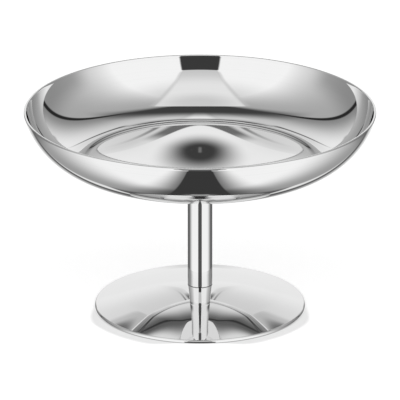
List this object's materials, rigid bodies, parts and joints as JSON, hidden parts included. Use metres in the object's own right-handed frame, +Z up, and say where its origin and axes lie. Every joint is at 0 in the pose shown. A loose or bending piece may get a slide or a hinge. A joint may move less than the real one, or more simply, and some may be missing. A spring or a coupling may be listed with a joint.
{
  "type": "footed_nut_bowl",
  "caption": "Polished steel nut bowl on a short tube stem with a domed round foot; the bowl unscrews from the stem",
  "frame": {"origin": "centre of the flat ring on which the foot stands, on the table plane", "axes": "+Z up along the stem, -Y towards the camera, +X to the right in the picture"},
  "size_m": [0.14, 0.14, 0.0829],
  "materials": {
    "polished_steel": "mirror-polished stainless steel sheet and tube",
    "turned_steel": "plain turned stainless steel",
    "zinc_steel": "bright zinc-plated steel fastener"
  },
  "bodies": {
    "stem_and_foot": {"stem_tube": "polished_steel", "upper_bush": "turned_steel", "lower_bush": "turned_steel", "foot_dome": "polished_steel", "crown_washer": "turned_steel", "lock_washer": "zinc_steel", "foot_screw": "zinc_steel"},
    "ferrule": {"top_ferrule": "polished_steel"},
    "bowl_body": {"bowl": "polished_steel", "bowl_plate": "polished_steel", "bowl_stud": "turned_steel"}
  },
  "joints": [
    {"name": "bowl_lift", "type": "slide", "parent": "stem_and_foot", "child": "ferrule", "axis": [0, 0, 1], "range_m": [0, 0.004]},
    {"name": "bowl_unscrew", "type": "hinge", "parent": "ferrule", "child": "bowl_body", "pos_m": [0, 0, 0.0549], "axis": [0, 0, 1], "range_deg": [0, 1800]}
  ],
  "couplings": [
    {"joint": "bowl_lift", "follows": "bowl_unscrew", "m_per_rad": 0.00012732}
  ]
}
